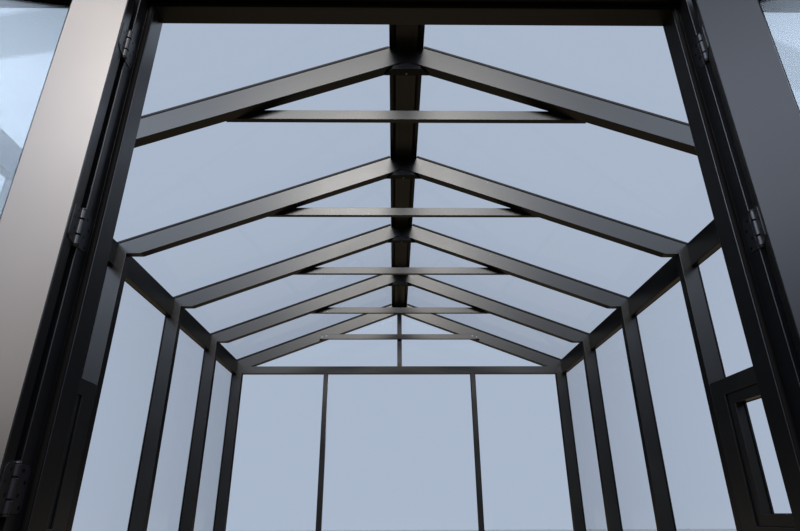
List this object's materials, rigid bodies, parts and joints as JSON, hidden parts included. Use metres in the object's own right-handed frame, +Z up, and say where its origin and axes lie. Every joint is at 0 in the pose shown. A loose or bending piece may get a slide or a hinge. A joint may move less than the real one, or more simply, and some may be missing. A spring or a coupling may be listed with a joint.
{
  "type": "glass greenhouse",
  "caption": "Gable-roofed aluminium greenhouse glazed to the ground, with portal frames, collar ties, a casement in each side wall and an outward double door folded back.",
  "frame": {"origin": "on the ground, under the middle of the doorway, in the plane of the front wall's face", "axes": "+X to the right seen from in front, +Y from the front gable to the back gable, +Z up"},
  "size_m": [3.327, 4.7873, 2.7726],
  "materials": {
    "frame_metal": "satin anthracite powder coat on extruded aluminium",
    "door_metal": "satin anthracite powder coat on extruded aluminium",
    "hinge_metal": "satin black powder coat on steel",
    "handle_steel": "brushed stainless steel",
    "gasket_rubber": "matt black EPDM glazing gasket",
    "clear_glass": "clear toughened glass"
  },
  "bodies": {
    "house": {"side_sill_right": "frame_metal", "side_sill_left": "frame_metal", "front_sills": "frame_metal", "back_sill": "frame_metal", "threshold": "frame_metal", "corner_posts": "frame_metal", "side_posts_right": "frame_metal", "side_posts_left": "frame_metal", "door_posts": "frame_metal", "back_mullions": "frame_metal", "front_tie_beam": "frame_metal", "back_tie_beam": "frame_metal", "king_posts": "frame_metal", "eaves_beam_right": "frame_metal", "eaves_beam_left": "frame_metal", "ridge_beam": "frame_metal", "rafters_right": "frame_metal", "rafters_left": "frame_metal", "collar_ties": "frame_metal", "apex_plates": "frame_metal", "roof_caps": "frame_metal", "ridge_cap": "frame_metal", "side_caps": "frame_metal", "gable_caps": "frame_metal", "window_frames": "frame_metal", "window_sashes": "frame_metal", "roof_gaskets": "gasket_rubber", "side_gaskets": "gasket_rubber", "gable_gaskets": "gasket_rubber", "roof_glass_right": "clear_glass", "roof_glass_left": "clear_glass", "side_glass_right": "clear_glass", "side_glass_left": "clear_glass", "gable_glass": "clear_glass", "front_side_glass": "clear_glass", "back_wall_glass": "clear_glass", "window_glass": "clear_glass", "hinge_halves_on_posts": "hinge_metal"},
    "left_door": {"door_frame_left": "door_metal", "door_glass_left": "clear_glass", "hinge_halves_left": "hinge_metal"},
    "right_door": {"door_frame_right": "door_metal", "door_glass_right": "clear_glass", "hinge_halves_right": "hinge_metal", "door_handles": "handle_steel"}
  },
  "joints": [
    {"name": "left_door_hinge", "type": "hinge", "parent": "house", "child": "left_door", "pos_m": [-0.7305, -0.014, 0], "axis": [0, 0, 1], "range_deg": [-2, 170]},
    {"name": "right_door_hinge", "type": "hinge", "parent": "house", "child": "right_door", "pos_m": [0.7305, -0.014, 0], "axis": [0, 0, -1], "range_deg": [-15, 157]}
  ]
}
